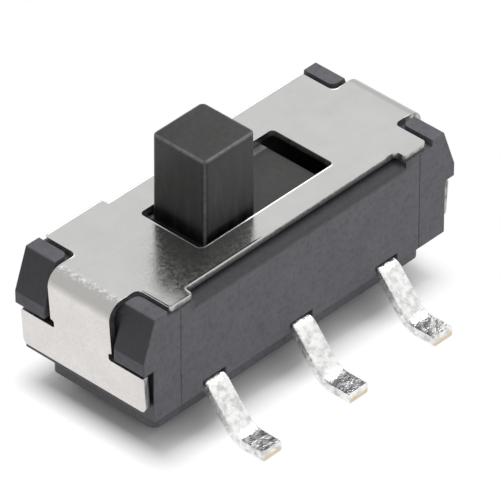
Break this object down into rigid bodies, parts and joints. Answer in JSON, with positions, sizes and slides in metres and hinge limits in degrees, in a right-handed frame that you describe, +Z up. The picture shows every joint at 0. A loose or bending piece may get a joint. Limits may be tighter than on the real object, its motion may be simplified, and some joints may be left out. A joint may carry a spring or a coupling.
{
  "type": "slide switch",
  "caption": "Sub-miniature surface-mount slide switch: dark moulded base, bright sheet cover hooked over its ends, square charcoal handle in a slot and gull-wing tinned terminals.",
  "frame": {"origin": "midway between the two locating pegs, in the plane of their tips and of the terminal feet", "axes": "+X along the body's length, the way the slider travels from rest; the terminals leave on the -Y side; +Z up, out of the cover"},
  "size_m": [0.009, 0.0051, 0.0054],
  "materials": {
    "base_plastic": "semi-matte glass-filled nylon",
    "cover_steel": "satin plated sheet",
    "slider_plastic": "satin moulded plastic",
    "contact_bronze": "rolled spring bronze",
    "terminal_tin": "bright tin plating"
  },
  "bodies": {
    "housing": {"base": "base_plastic", "cover": "cover_steel", "terminal_1": "terminal_tin", "terminal_common": "terminal_tin", "terminal_2": "terminal_tin"},
    "slider": {"slider": "slider_plastic", "moving_contact": "contact_bronze"}
  },
  "joints": [
    {"name": "slide", "type": "slide", "parent": "housing", "child": "slider", "axis": [1, 0, 0], "range_m": [0, 0.0019]}
  ]
}
